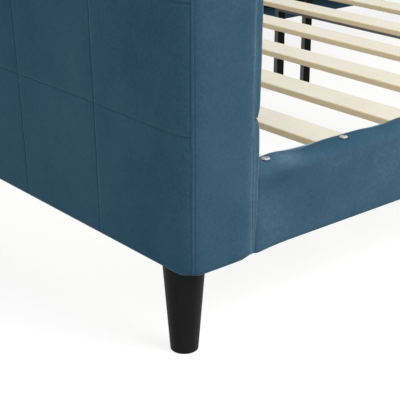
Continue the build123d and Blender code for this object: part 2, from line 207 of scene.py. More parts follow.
def velvet(name, nap):
    # Short pile: broad brushed patches, small marks and fine grain. Painted light makes it lighter where
    # it faces the front, the shade attribute adds painted shade and highlight, and it has a sheen where
    # it turns away
    shader = Shader(name)
    patches = shader.pattern(*pile["patches"])
    marks = shader.pattern(*pile["marks"])
    grain = shader.pattern(*pile["grain"])
    shade = shader.node("ShaderNodeAttribute", {"attribute_name": "shade"}, {}, "Fac")
    brushed = patches * pile["patchShare"] + marks * pile["markShare"] + grain * pile["grainShare"]
    # painted light towards the front, and painted shade and highlight from the shade attribute
    brushed += nap - pile["paintedFrontLight"] * shader.normal("Y") + pile["shadeShare"] * shade
    colours = [pile[tone] for tone in ("deep", "mid", "light", "bright")]
    rough, spread = pile["rough"]
    shader.wire("Base Color", shader.ramp(brushed, pile["positions"], colours))
    shader.wire("Roughness", rough + spread * marks)
    shader.set(Sheen_Weight=1.0, Sheen_Roughness=pile["sheenRough"], Sheen_Tint=pile["sheenTint"])
    shader.set(Specular_IOR_Level=pile["specular"])
    shader.bump(grain + pile["markBump"] * marks, *pile["bump"])
    return shader.material


def plywood():
    # Pale lacquered faces with faint long grain, darker layered edges
    look = {
        "warm": (0.79, 0.725, 0.585),
        "pale": (0.845, 0.79, 0.655),
        "positions": (0.36, 0.56),
        "edgePale": (1.0, 0.845, 0.56),
        "edgeDark": (1.0, 0.775, 0.46),
        "edgeTurn": 0.55,
        "grain": ((150, 3.2, 150), 5.0, 0.62),
        "flecks": ((520, 210, 520), 3.0, 0.7),
        "cloud": (16.0, 3.0, 0.6),
        "grainShare": 0.22,
        "fleckShare": 0.42,
        "cloudShare": 0.36,
        "layer": 1.7 * mm,
        "layerMiddle": 0.35,
        "layerShare": 0.3,
        "rough": (0.42, 0.2),
        "fleckBump": 0.4,
        "bump": (0.15, 0.2 * mm),
    }
    shader = Shader("slatPlywood")
    grain = shader.pattern(*look["grain"])
    flecks = shader.pattern(*look["flecks"])
    cloud = shader.pattern(*look["cloud"])
    blend = grain * look["grainShare"] + flecks * look["fleckShare"] + cloud * look["cloudShare"]
    face = shader.ramp(blend, look["positions"], [look["warm"], look["pale"]])
    height = shader.node("ShaderNodeSeparateXYZ", {}, {"Vector": shader.place}, "Z")
    layers = (height * (2 * math.pi / look["layer"])).sum("SINE")
    layers = layers * look["layerShare"] + look["layerMiddle"] + grain * look["layerShare"]
    ply = shader.mix(layers, look["edgePale"], look["edgeDark"])
    edge = shader.normal("X").sum("ABSOLUTE").above(look["edgeTurn"])
    rough, spread = look["rough"]
    shader.wire("Base Color", shader.mix(edge, face, ply))
    shader.wire("Roughness", rough + spread * grain)
    shader.bump(grain + look["fleckBump"] * flecks, *look["bump"])
    return shader.material


# Plain finishes: two patterns blend between two colours, and the second one varies the roughness
finishes = {
    "frameTimber": {
        "colours": ((0.44, 0.29, 0.16), (0.68, 0.51, 0.32)),
        "positions": (0.36, 0.62),
        "patterns": (((60, 4, 60), 5.0, 0.6), (260.0, 3.0, 0.6)),
        "shares": (0.7, 0.3),
        "rough": (0.6, 0.15),
        "bumpShares": (1, 0.5),
        "bump": (0.3, 0.3 * mm),
    },
    "blackStain": {
        "colours": ((0.007, 0.007, 0.0075), (0.013, 0.0125, 0.012)),
        "positions": (0.42, 0.7),
        "patterns": (((90, 90, 6), 4.0, 0.6), (320.0, 2.0, 0.5)),
        "shares": (0.7, 0.3),
        "rough": (0.42, 0.18),
        "bumpShares": (1, 0),
        "bump": (0.2, 0.25 * mm),
        "constants": {"Specular_IOR_Level": 0.07},
    },
    "powderCoat": {
        "colours": ((0.004, 0.004, 0.0045), (0.01, 0.01, 0.011)),
        "positions": (0.4, 0.7),
        "side": (0.17, 0.17, 0.175),      # painted reflection: lighter grey where it faces along the bed
        "sideTurn": 0.8,
        "patterns": ((900.0, 2.0, 0.5), (24.0, 3.0, 0.6)),
        "shares": (0.4, 0.6),
        "rough": (0.3, 0.2),
        "bumpShares": (1, 0),
        "bump": (0.3, 0.15 * mm),
        "constants": {"Specular_IOR_Level": 0.04},
    },
    "mouldedPlastic": {
        "colours": ((0.014, 0.014, 0.014), (0.026, 0.026, 0.026)),
        "positions": (0.3, 0.7),
        "patterns": ((1200.0, 2.0, 0.5), (1200.0, 2.0, 0.5)),
        "shares": (0.5, 0.5),
        "rough": (0.5, 0.2),
        "bumpShares": (1, 0),
        "bump": (0.3, 0.1 * mm),
    },
    "nickelPlate": {
        "colours": ((0.45, 0.45, 0.46), (0.6, 0.6, 0.61)),
        "positions": (0.35, 0.65),
        "patterns": ((160.0, 2.0, 0.5), ((900, 90, 90), 3.0, 0.6)),
        "shares": (0.6, 0.4),
        "rough": (0.75, 0.16),
        "bumpShares": (0, 1),
        "bump": (0.15, 0.05 * mm),
        "constants": {"Metallic": 1.0},
    },
}
finishes["fibreBoard"] = finishes["frameTimber"] | {
    "colours": ((0.2, 0.13, 0.075), (0.33, 0.23, 0.14)),
    "patterns": (((40, 40, 40), 5.0, 0.6), (260.0, 3.0, 0.6)),
    "rough": (0.7, 0.15),
}
finishes["zincPlate"] = finishes["nickelPlate"] | {
    "colours": ((0.34, 0.35, 0.36), (0.56, 0.57, 0.58)),
    "rough": (0.36, 0.16),
}


def plainFinish(name):
    look = finishes[name]
    shader = Shader(name)
    first, second = (shader.pattern(*pattern) for pattern in look["patterns"])
    firstShare, secondShare = look["shares"]
    firstBump, secondBump = look["bumpShares"]
    rough, spread = look["rough"]
    colour = shader.ramp(first * firstShare + second * secondShare, look["positions"], look["colours"])
    # painted reflection on the faces along the bed
    if "side" in look:
        side = shader.normal("X").sum("ABSOLUTE").above(look["sideTurn"])
        colour = shader.mix(side, colour, look["side"])
    shader.wire("Base Color", colour)
    shader.wire("Roughness", rough + spread * second)
    shader.bump(first * firstBump + second * secondBump, *look["bump"])
    shader.set(**look.get("constants", {}))
    return shader.material


materials = {
    "velvet": velvet("velvet", pile["coverNap"]),
    "slat_plywood": plywood(),
    "frame_timber": plainFinish("frameTimber"),
    "fibre_board": plainFinish("fibreBoard"),
    "black_wood": plainFinish("blackStain"),
    "black_steel": plainFinish("powderCoat"),
    "black_plastic": plainFinish("mouldedPlastic"),
    "screw_steel": plainFinish("nickelPlate"),
    "plated_steel": plainFinish("zincPlate"),
}
railVelvet = velvet("railVelvet", pile["railNap"])
slotOf = {part["node"]: part["material_slot"] for part in frame["record"]["subparts"]}
for nodeName, nodeObject in nodes.items():
    nodeObject.data.materials.clear()
    nodeObject.data.materials.append(materials[slotOf[nodeName]])
print("materials made:", len(materials) + 1)


def finishPiece(name, bm, slot, replaced, smooth=True):
    # Turns a finished bmesh into a piece that rides on the bed
    bmesh.ops.recalc_face_normals(bm, faces=bm.faces)
    mesh = bpy.data.meshes.new(name)
    bm.to_mesh(mesh)
    bm.free()
    for face in mesh.polygons:
        face.use_smooth = smooth
    mesh.materials.append(materials[slot])
    piece = bpy.data.objects.new(name, mesh)
    bpy.context.scene.collection.objects.link(piece)
    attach(piece, "root")
    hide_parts(*replaced)
    return piece


# A line of straight runs and quarter turns, followed by how far along it one is
class Path:
    def __init__(self):
        self.runs = []
        self.length = 0.0

    def straight(self, start, end, outward):
        start = Vector(start)
        end = Vector(end)
        size = (end - start).length
        self.runs.append((self.length, size, lambda s: (start.lerp(end, s / size), Vector(outward))))
        self.length += size

    def turn(self, centre, radius, first, second):
        # From the outward direction first round to second
        centre = Vector(centre)
        size = radius * math.pi / 2

        def place(s):
            outward = Vector(first) * math.cos(s / radius) + Vector(second) * math.sin(s / radius)
            return centre + outward * radius, outward

        self.runs.append((self.length, size, place))
        self.length += size

    def at(self, s):
        for start, size, place in self.runs:
            if s <= start + size:
                break
        return place(min(max(s - start, 0.0), size))


# How the covers are padded, sewn and turned at their edges; the loops are in millimetres from a seam
upholstery = {
    "topRadius": 14 * mm,
    "hemRadius": 6 * mm,
    "hemCalm": 40 * mm,
    "hemShoulder": 0.45,
    "shoulderDepth": 0.6 * mm,
    "shoulderReach": 18 * mm,
    "shoulderPower": 2.4,
    "joinPower": 3,
    "foldDepth": 0.8 * mm,
    "foldWidth": 1.0 * mm,
    "foldPlace": 0.2 * mm,
    "ridgeHeight": 0.5 * mm,
    "ridgeWidth": 1.0 * mm,
    "ridgePlace": 2.3 * mm,
    # painted shade and highlight beside sewn lines
    "shadeWidth": 1.4 * mm,
    "shadeMiddle": 1.1 * mm,
    "shadeApart": 1.3 * mm,
    "uprightShades": (1.1, 1.0),
    "levelShades": (0.5, 0.3),
    "tuckDepth": 3.5 * mm,
    "tuckReach": 12 * mm,
    "weltWidth": 3.5 * mm,
    "weltHeight": 0.5 * mm,
    "weltSteep": 3,
    "stitchDepth": 0.7 * mm,
    "stitchWidth": 0.8 * mm,
    "rollHeight": 0.15 * mm,
    "rollPlace": 3.2 * mm,
    "rollWidth": 1.8 * mm,
    # painted highlight along the arm's rolled inner front edge
    "glow": 0.9,
    "glowLine": 0.4 * mm,
    "glowReach": 9 * mm,
    "glowBand": 0.7,
    "glowEnd": 20 * mm,
    "glowFade": 6 * mm,
    "sewnDepth": 0.12 * mm,
    "sewnWidth": 1.1 * mm,
    "seamLoops": [0.5, 1.0, 1.6, 2.4, 3.6, 5.5, 8.5, 13.0, 19.0],
    "weltLoops": [0.5, 1.0, 1.6, 2.3, 2.8, 3.2, 3.6, 4.0, 4.6, 5.6, 8.0, 13.0],
    "loopShare": 0.4,
    "spacing": 15 * mm,
    "waveScale": 7,
    "waveHeight": 0.9 * mm,
    "rippleScales": (38, 30),
    "rippleSeed": 5,
    "rippleHeight": 0.22 * mm,
    "calmDrop": 3 * mm,
    "closeTo": 0.05 * mm,
}
eighthTurn = 1 - math.sqrt(0.5)      # how far in a round corner's middle lies, as a share of its radius


def within(share):
    return min(max(share, 0.0), 1.0)


def fading(distance, reach):
    # One at no distance, nought from the reach on
    return max(1 - distance / reach, 0.0)


def between(low, high, share):
    return low * (1 - share) + high * share


def easeStep(share):
    share = within(share)
    return share * share * (3 - 2 * share)


def bell(value, middle, reach):
    return math.exp(-(((value - middle) / reach) ** 2))


def arch(share):
    # Nought at both ends and one in the middle
    return 4 * share * (1 - share)


def roundedDrop(distance, radius):
    # How far a rounded edge falls away at a distance from the square edge
    if distance >= radius:
        return 0.0
    inside = radius - max(distance, 0.0)
    return radius - math.sqrt(max(radius * radius - inside * inside, 0.0))


def shoulderDrop(distance):
    # How far a cell falls away towards a sewn line
    care = upholstery
    return care["shoulderDepth"] * fading(distance, care["shoulderReach"]) ** care["shoulderPower"]


def lineShape(past):
    # Across a sewn line: how deep its fold is, and how high the fine ridge beside it stands
    care = upholstery
    fold = care["foldDepth"] * bell(past, care["foldPlace"], care["foldWidth"])
    ridge = care["ridgeHeight"] * bell(past, care["ridgePlace"], care["ridgeWidth"])
    return fold, ridge


def lineShade(past, upright):
    # Painted shade on one side of a sewn line and a painted highlight on the other
    care = upholstery
    dark, light = care["uprightShades" if upright else "levelShades"]
    middle, apart, width = care["shadeMiddle"], care["shadeApart"], care["shadeWidth"]
    return light * bell(past, middle + apart, width) - dark * bell(past, middle - apart, width)


def edgeShade(kind, distance):
    # Painted highlight where the cloth rolls round an arm's inner front edge
    care = upholstery
    line = bell(distance, care["glowLine"], care["rollWidth"])
    if kind == "roll":
        return care["glow"] * (bell(distance, 0.0, care["glowReach"]) + line)
    if kind == "rolled":
        band = easeStep((care["glowEnd"] - distance) / care["glowFade"])
        return care["glow"] * (care["glowBand"] * band + line)
    return 0.0


def edgeDrop(kind, distance):
    # The shape of a border: sewn plainly or beside a roll or a welt, turned over at the top, turned
    # under as a hem, or tucked against a neighbour
    care = upholstery
    crease = care["sewnDepth"] * bell(distance, 0.0, care["sewnWidth"])
    if kind in ("sewn", "rolled"):
        return crease
    if kind == "roll":
        return crease - care["rollHeight"] * bell(distance, care["rollPlace"], care["rollWidth"])
    if kind == "welt":
        beyond = (distance - care["weltWidth"]) / care["stitchWidth"]
        ridge = care["weltHeight"] / (1 + math.exp(care["weltSteep"] * beyond))
        return crease - ridge + care["stitchDepth"] * math.exp(-beyond ** 2)
    if kind == "top":
        return crease + roundedDrop(distance + eighthTurn * care["topRadius"], care["topRadius"])
    if kind == "hem":
        return roundedDrop(distance, care["hemRadius"])
    if kind == "tuck":
        return care["tuckDepth"] * fading(distance, care["tuckReach"]) ** 2
    return 0.0


def nearLoops(kind, width):
    care = upholstery
    loops = care["weltLoops" if kind in ("welt", "roll") else "seamLoops"]
    return [offset * mm for offset in loops if offset * mm < width * care["loopShare"]]


def loopPlaces(lines, lowKind, highKind):
    # Edge loops across a row of cells: close together beside each seam, wider between
    places = []
    for cell in range(len(lines) - 1):
        width = abs(lines[cell + 1] - lines[cell])
        low = nearLoops(lowKind if cell == 0 else "seam", width)
        high = nearLoops(highKind if cell == len(lines) - 2 else "seam", width)
        middle = width - low[-1] - high[-1]
        count = max(round(middle / upholstery["spacing"]), 1)
        offsets = [0.0] + low + [low[-1] + middle * k / count for k in range(1, count)]
        offsets += [width - offset for offset in reversed(high)]
        places += [(cell, offset / width) for offset in offsets]
    places.append((len(lines) - 2, 1.0))
    return places


def gridMesh(columns, rows):
    # A flat grid with a whole number of loops, and each vertex's column and row
    half = 0.5
    bm = bmesh.new()
    # the shade layer carries painted shade and highlight
    bm.verts.layers.float.new("shade")
    bmesh.ops.create_grid(bm, x_segments=columns - 1, y_segments=rows - 1, size=half)
    spots = []
    for vert in bm.verts:
        column = round((vert.co.x + half) * (columns - 1))
        row = round((vert.co.y + half) * (rows - 1))
        spots.append((vert, column, row))
    return bm, spots


# The cloth whose swelling between the seams the covers take over; its start is in millimetres
clothTest = {
    "step": 11 * mm,
    "heldWithin": mm,
    "start": 0.6,
    "frames": 20,
    "settings": {
        "quality": 5,
        "mass": 0.25,
        "tension_stiffness": 22,
        "compression_stiffness": 22,
        "shear_stiffness": 8,
        "bending_stiffness": 1.5,
        "vertex_group_mass": "sewn",
        "use_pressure": True,
        "uniform_pressure_force": 1.2,
        "shrink_min": -0.004,
    },
}


def evenSteps(lines):
    # How many steps each cell has, and where all of them lie
    counts = [max(round(abs(b - a) / clothTest["step"]), 2) for a, b in zip(lines, lines[1:])]
    places = []
    for a, b, count in zip(lines, lines[1:], counts):
        places += [a + (b - a) * k / count for k in range(count)]
    return counts, places + [lines[-1]]


def swellOf(uLines, vLines, seed):
    # Cloth sewn down along the seams and blown up a little: how far it stands out at any place
    uCount, uAll = evenSteps(uLines)
    vCount, vAll = evenSteps(vLines)
    bm, spots = gridMesh(len(uAll), len(vAll))
    chance = random.Random(seed)
    sewn = []
    for vert, i, j in spots:
        away = [abs(uAll[i] - line) for line in uLines] + [abs(vAll[j] - line) for line in vLines]
        held = min(away) < clothTest["heldWithin"]
        rise = 0.0 if held else chance.uniform(0, clothTest["start"]) * mm
        vert.co = (uAll[i], vAll[j], rise)
        if held:
            sewn.append(vert.index)
    mesh = bpy.data.meshes.new("clothSample")
    bm.to_mesh(mesh)
    order = {(i, j): vert.index for vert, i, j in spots}
    bm.free()
    sample = bpy.data.objects.new("clothSample", mesh)
    bpy.context.scene.collection.objects.link(sample)
    sample.vertex_groups.new(name="sewn").add(sewn, 1.0, "REPLACE")
    cloth = sample.modifiers.new("cloth", "CLOTH")
    for key, value in clothTest["settings"].items():
        setattr(cloth.settings, key, value)
    cloth.settings.effector_weights.gravity = 0.0
    cloth.point_cache.frame_start = 1
    cloth.point_cache.frame_end = clothTest["frames"]
    for moment in range(1, clothTest["frames"] + 1):
        bpy.context.scene.frame_set(moment)
    grown = sample.evaluated_get(bpy.context.evaluated_depsgraph_get())
    shape = grown.to_mesh()
    heights = [[shape.vertices[order[(i, j)]].co.z for j in range(len(vAll))] for i in range(len(uAll))]
    grown.to_mesh_clear()
    bpy.data.objects.remove(sample)
    bpy.context.scene.frame_set(1)
    peak = max(max(abs(height) for height in line) for line in heights)
    print("  cloth of", len(order), "points swelled", round(peak / mm, 2), "mm")

    def swell(uCell, uShare, vCell, vShare):
        i = sum(uCount[:uCell]) + uShare * uCount[uCell]
        j = sum(vCount[:vCell]) + vShare * vCount[vCell]
        i0 = min(int(i), len(uAll) - 2)
        j0 = min(int(j), len(vAll) - 2)
        low = between(heights[i0][j0], heights[i0 + 1][j0], i - i0)
        high = between(heights[i0][j0 + 1], heights[i0 + 1][j0 + 1], i - i0)
        return between(low, high, j - j0) / peak

    return swell


def sewnPlace(crossings, depth, hemShare):
    # What the seams and borders round a place do to it: how far it falls away, and the painted shade and
    # highlight on its pile
    drop = 0.0
    shade = 0.0
    shoulders = []
    folds = [0.0]
    ridges = [0.0]
    for upright, distance, border, kind, side in crossings:
        if border:
            drop += edgeDrop(kind, distance)
            shade += edgeShade(kind, distance)
        else:
            fold, ridge = lineShape(distance * side)
            shade += lineShade(distance * side, upright)
            shoulders.append(shoulderDrop(distance) * depth)
            folds.append(fold)
            ridges.append(ridge)
    power = upholstery["joinPower"]
    joined = sum(shoulder ** power for shoulder in shoulders) ** (1 / power)
    drop += joined * between(upholstery["hemShoulder"], 1, hemShare)
    return drop + max(folds) - max(ridges), shade


def makePanel(
    name, replaced, surface, core, uLines, vLines, kinds, seed, bulge, sway=None, droop=None, depth=1.0,
):
    # A padded cover over a surface: cells between sewn lines, shaped borders, and closed behind
    care = upholstery
    coreLow, coreHigh = core
    lowU, highU, lowV, highV = kinds
    uPlaces = loopPlaces(uLines, lowU, highU)
    vPlaces = loopPlaces(vLines, lowV, highV)
    bm, spots = gridMesh(len(uPlaces), len(vPlaces))
    shadeLayer = bm.verts.layers.float["shade"]
    swell = swellOf(uLines, vLines, seed) if bulge else None
    bases = {}
    for vert, i, j in spots:
        uCell, uShare = uPlaces[i]
        vCell, vShare = vPlaces[j]
        plainU = between(uLines[uCell], uLines[uCell + 1], uShare)
        plainV = between(vLines[vCell], vLines[vCell + 1], vShare)
        u, v = plainU, plainV
        if sway:
            u += between(sway(uCell, plainV), sway(uCell + 1, plainV), uShare)
        if droop:
            v += between(droop(vCell, plainU), droop(vCell + 1, plainU), vShare)
        crossings = []
        for upright, lines, cell, share, low, high in (
            (True, uLines, uCell, uShare, lowU, highU),
            (False, vLines, vCell, vShare, lowV, highV),
        ):
            width = abs(lines[cell + 1] - lines[cell])
            crossings.append((upright, share * width, cell == 0, low, 1))
            crossings.append((upright, (1 - share) * width, cell == len(lines) - 2, high, -1))
        hemShare = min((plainV - vLines[0]) / care["hemCalm"], 1.0) if lowV == "hem" else 1.0
        drop, shade = sewnPlace(crossings, depth, hemShare)
        calm = 1 - (1 - min(drop / care["calmDrop"], 1.0)) * hemShare
        across, up = care["rippleScales"]
        wave = noise.noise(Vector((plainU * care["waveScale"], plainV * care["waveScale"], seed)))
        ripple = noise.noise(Vector((plainU * across, plainV * up, seed + care["rippleSeed"])))
        drop -= (wave * care["waveHeight"] + ripple * care["rippleHeight"]) * (1 - calm)
        if swell:
            drop -= bulge * swell(uCell, uShare, vCell, vShare) * hemShare
        elif bulge:
            drop -= bulge * arch(uShare) * arch(vShare) * hemShare
        point, outward = surface(u, v)
        vert.co = point - outward * drop
        # painted shade and highlight, kept as the shade attribute
        vert[shadeLayer] = shade
        inside = [min(max(value, low), high) for value, low, high in zip(point, coreLow, coreHigh)]
        bases[vert] = Vector(inside)
    border = [edge for edge in bm.edges if edge.is_boundary]
    closed = bmesh.ops.extrude_edge_only(bm, edges=border)["geom"]
    pairs = {}
    for vert in (item for item in closed if isinstance(item, bmesh.types.BMVert)):
        for edge in vert.link_edges:
            other = edge.other_vert(vert)
            if other in bases:
                pairs[vert] = other
    for vert, other in pairs.items():
        vert.co = bases[other]
    bmesh.ops.remove_doubles(bm, verts=list(pairs), dist=care["closeTo"])
    bmesh.ops.holes_fill(bm, edges=[edge for edge in bm.edges if edge.is_boundary], sides=0)
    piece = finishPiece(name, bm, "velvet", replaced)


# The quilting: its columns are places behind the front, its rows stand above the arms' lower edge
quilt = {
    "columns": [184 * mm, 358.6 * mm, 533.2 * mm, 707.8 * mm, 882.4 * mm],
    "innerColumns": 5,
    "backColumns": 11,
    "firstRow": 168 * mm,
    "rows": 4,
    "bulge": 0.9 * mm,
    "plainBulge": 1.0 * mm,
    "endBulge": 0.6 * mm,
    "innerBulge": 2.4 * mm,
    "innerDepth": 4.2,
    "innerRowRise": 3.5 * mm,
    "leans": [0.03, 0.062, 0.06, 0.06, 0.06],
    "innerLean": 0.03,
    "leanLevel": 288 * mm,
    "wobble": 1.2 * mm,
    "wobbleScales": (6, 3.7),
    "seeds": {"left": 11, "right": 23, "backFront": 31, "backRear": 33, "backTop": 35},
    "backWobbles": (41, 43),
    "partSeeds": {"outer": 0, "inner": 1, "front": 2, "rear": 3, "top": 4},
    "droopSeed": 2,
    "innerSwaySeed": 4,
}
topInset = eighthTurn * upholstery["topRadius"]
topEdge = bodyTop - topInset
rowRise = (bodyTop - armBottom - quilt["firstRow"]) / (quilt["rows"] - 1)
rowLines = [armBottom + quilt["firstRow"] + rowRise * k for k in range(quilt["rows"] - 1)]


def wobble(lines, line, place, seed):
    # Small wandering of a sewn line, none at the borders
    if line in (0, len(lines) - 1):
        return 0.0
    along, across = quilt["wobbleScales"]
    return noise.noise(Vector((place * along, line * across, seed))) * quilt["wobble"]


# An arm's outline seen from above, how its foot is drawn in, and how its inner side is pressed in
# beside the rail and swells above it
armShape = {
    "outerProud": 2.5 * mm,
    "innerProud": 0.1 * mm,
    "outerRadius": 20 * mm,
    "innerRadius": 9 * mm,
    "innerWrap": 12.6 * mm,
    "hemSide": -2.9 * mm,
    "hemCorner": 0.8 * mm,
    "cornerShift": 0.2 * mm,
    "hemFront": -0.4 * mm,
    "hemFrontFrom": 0.5,
    "hemFrontTo": 0.6,
    "hemInner": 3.0 * mm,
    "hemTurn": 26 * mm,
    "hemFade": 45 * mm,
    "squeeze": 5.8 * mm,
    "squeezeTop": 250 * mm,
    "squeezePower": 1.6,
    "squeezeReach": 34 * mm,
    "swell": 2.95 * mm,
    "swellFrom": 285 * mm,
    "swellTo": 400 * mm,
}


def alongStations(stations, s):
    # A value that eases from station to station along a path
    if s <= stations[0][0]:
        return stations[0][1]
    for (start, low), (end, high) in zip(stations, stations[1:]):
        if s <= end:
            return between(low, high, easeStep((s - start) / (end - start)))
    return stations[-1][1]


def makeArm(side, name):
    shape = armShape
    proud = shape["outerProud"]
    radius = shape["outerRadius"]
    tight = shape["innerRadius"]
    centreIn = radius - proud
    width = armThickness + shape["innerProud"]
    path = Path()
    path.straight((bodyDepth, width), (bodyDepth, centreIn), (1, 0))
    rearTurn = path.length
    path.turn((bodyDepth - radius, centreIn), radius, (1, 0), (0, -1))
    outerStart = path.length
    path.straight((bodyDepth - radius, -proud), (radius, -proud), (0, -1))
    frontTurn = path.length
    path.turn((radius, centreIn), radius, (0, -1), (-1, 0))
    frontStart = path.length
    path.straight((0, centreIn), (0, width - tight), (-1, 0))
    path.turn((tight, width - tight), tight, (-1, 0), (0, 1))
    innerStart = path.length
    path.straight((tight, width), (bodyDepth, width), (0, 1))
    midTurn = radius * math.pi / 4      # to the middle of a quarter turn
    rearSeam = rearTurn + midTurn
    cornerSeam = frontTurn + midTurn + shape["cornerShift"]
    innerSeam = frontStart + width - shape["innerWrap"] - centreIn
    turn = shape["hemTurn"]
    hem = [
        (rearSeam - turn, shape["hemSide"]),
        (rearSeam, shape["hemCorner"]),
        (rearSeam + turn, shape["hemSide"]),
        (cornerSeam - turn, shape["hemSide"]),
        (cornerSeam, shape["hemCorner"]),
        (cornerSeam + turn * shape["hemFrontFrom"], shape["hemFront"]),
        (innerSeam - turn * shape["hemFrontTo"], shape["hemFront"]),
        (innerSeam, shape["hemInner"]),
        (innerStart + turn, 0.0),
    ]

    def surface(s, z):
        (behind, inward), outward = path.at(s)
        low = within((shape["squeezeTop"] - z) / (shape["squeezeTop"] - armBottom))
        past = within((inward - width) / shape["innerWrap"] + 1)
        pressed = low ** shape["squeezePower"] * past * easeStep(1 - behind / shape["squeezeReach"])
        z += alongStations(hem, s) * fading(z - armBottom, shape["hemFade"])
        high = easeStep((z - shape["swellFrom"]) / (shape["swellTo"] - shape["swellFrom"]))
        inward += (shape["swell"] * high) * past - shape["squeeze"] * pressed
        point = Vector((side * (halfLength - inward), frontY + behind, z))
        return point, Vector((-side * outward[1], outward[0], 0))

    seed = quilt["seeds"][name]
    outerLow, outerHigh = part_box(f"{name}_arm_outer_board")
    innerLow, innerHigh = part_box(f"{name}_arm_inner_board")
    core = (
        [min(pair) for pair in zip(outerLow, innerLow)],
        [max(pair) for pair in zip(outerHigh, innerHigh)],
    )
    outerLines = [rearSeam]
    outerLines += [outerStart + bodyDepth - radius - place for place in reversed(quilt["columns"])]
    outerLines += [cornerSeam]
    heights = [armBottom] + rowLines + [topEdge]

    def cover(part, place, uLines, vLines, kinds, bulge, *shifts):
        makePanel(
            f"{name}Arm{part.capitalize()}Cover", [f"{name}_arm_{part}_cover"], place, core,
            uLines, vLines, kinds, seed + quilt["partSeeds"][part], bulge, *shifts,
        )

    def sway(line, z):
        if line in (0, len(outerLines) - 1):
            return 0.0
        lean = quilt["leans"][-line] * (z - quilt["leanLevel"])
        return wobble(outerLines, line, z, seed) - lean

    def droop(line, s):
        return wobble(heights, line, s, seed + quilt["droopSeed"])

    kinds = ("sewn", "sewn", "hem", "top")
    cover("outer", surface, outerLines, heights, kinds, quilt["bulge"], sway, droop)
    innerReach = backFace - frontY - quilt["columns"][0]
    innerLines = [innerSeam]
    for k in range(quilt["innerColumns"]):
        place = quilt["columns"][0] + innerReach * k / (quilt["innerColumns"] - 1)
        innerLines.append(innerStart + place - tight)
    innerLines.append(innerStart + bodyDepth - tight)

    def innerSway(line, z):
        if line in (0, len(innerLines) - 1):
            return 0.0
        lean = quilt["innerLean"] * (z - quilt["leanLevel"])
        return lean + wobble(innerLines, line, z, seed + quilt["innerSwaySeed"])

    def innerDroop(line, s):
        return 0.0 if line in (0, len(heights) - 1) else droop(line, s) + quilt["innerRowRise"]

    kinds = ("rolled", "none", "hem", "top")
    shifts = (innerSway, innerDroop, quilt["innerDepth"])
    cover("inner", surface, innerLines, heights, kinds, quilt["innerBulge"], *shifts)
    kinds = ("welt", "roll", "hem", "top")
    ends = [armBottom, topEdge]
    cover("front", surface, [cornerSeam, innerSeam], ends, kinds, quilt["endBulge"])
    kinds = ("tuck", "welt", "hem", "top")
    cover("rear", surface, [0.0, rearSeam], ends, kinds, quilt["endBulge"])

    # The top follows the rounded outline of the walls below it
    corners = [
        (radius, centreIn, -1, -1, radius),
        (tight, width - tight, -1, 1, tight),
        (bodyDepth - radius, centreIn, 1, -1, radius),
    ]

    def topSurface(behind, inward):
        for a, b, da, db, turnRadius in corners:
            offset = Vector((behind - a, inward - b))
            if offset.x * da > 0 and offset.y * db > 0:
                offset = offset.normalized() * min(offset.length, turnRadius - topInset)
                behind, inward = a + offset.x, b + offset.y
        return Vector((side * (halfLength - inward), frontY + behind, bodyTop)), Vector((0, 0, 1))

    kinds = ("top", "top", "top", "top")
    across = [topInset - proud, width - topInset]
    cover("top", topSurface, [topInset, bodyDepth - topInset], across, kinds, quilt["plainBulge"])
    print(name, "arm made")


def makeBack():
    def frontSurface(x, z):
        return Vector((x, backFace, z)), Vector((0, -1, 0))

    def rearSurface(x, z):
        return Vector((x, rearY, z)), Vector((0, 1, 0))

    def topSurface(x, y):
        return Vector((x, y, bodyTop)), Vector((0, 0, 1))

    core = (list(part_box("back_front_board")[0]), list(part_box("back_rear_board")[1]))
    count = quilt["backColumns"]
    columns = [-bayHalf + 2 * bayHalf * k / count for k in range(count + 1)]
    heights = [backBottom] + rowLines + [topEdge]
    seeds = quilt["seeds"]
    swaySeed, droopSeed = quilt["backWobbles"]

    def sway(line, z):
        return wobble(columns, line, z, swaySeed)

    def droop(line, x):
        return wobble(heights, line, x, droopSeed)

    makePanel(
        "backFrontCover", ["back_front_cover"], frontSurface, core, columns, heights,
        ("tuck", "tuck", "hem", "top"), seeds["backFront"], quilt["bulge"], sway, droop,
    )
    makePanel(
        "backRearCover", ["back_rear_cover"], rearSurface, core, [-bayHalf, bayHalf],
        [backBottom, topEdge],
        ("tuck", "tuck", "hem", "top"), seeds["backRear"], quilt["plainBulge"],
    )
    makePanel(
        "backTopCover", ["back_top_cover"], topSurface, core, [-bayHalf, bayHalf],
        [backFace + topInset, rearY - topInset],
        ("none", "none", "top", "top"), seeds["backTop"], quilt["plainBulge"],
    )
    print("back made")
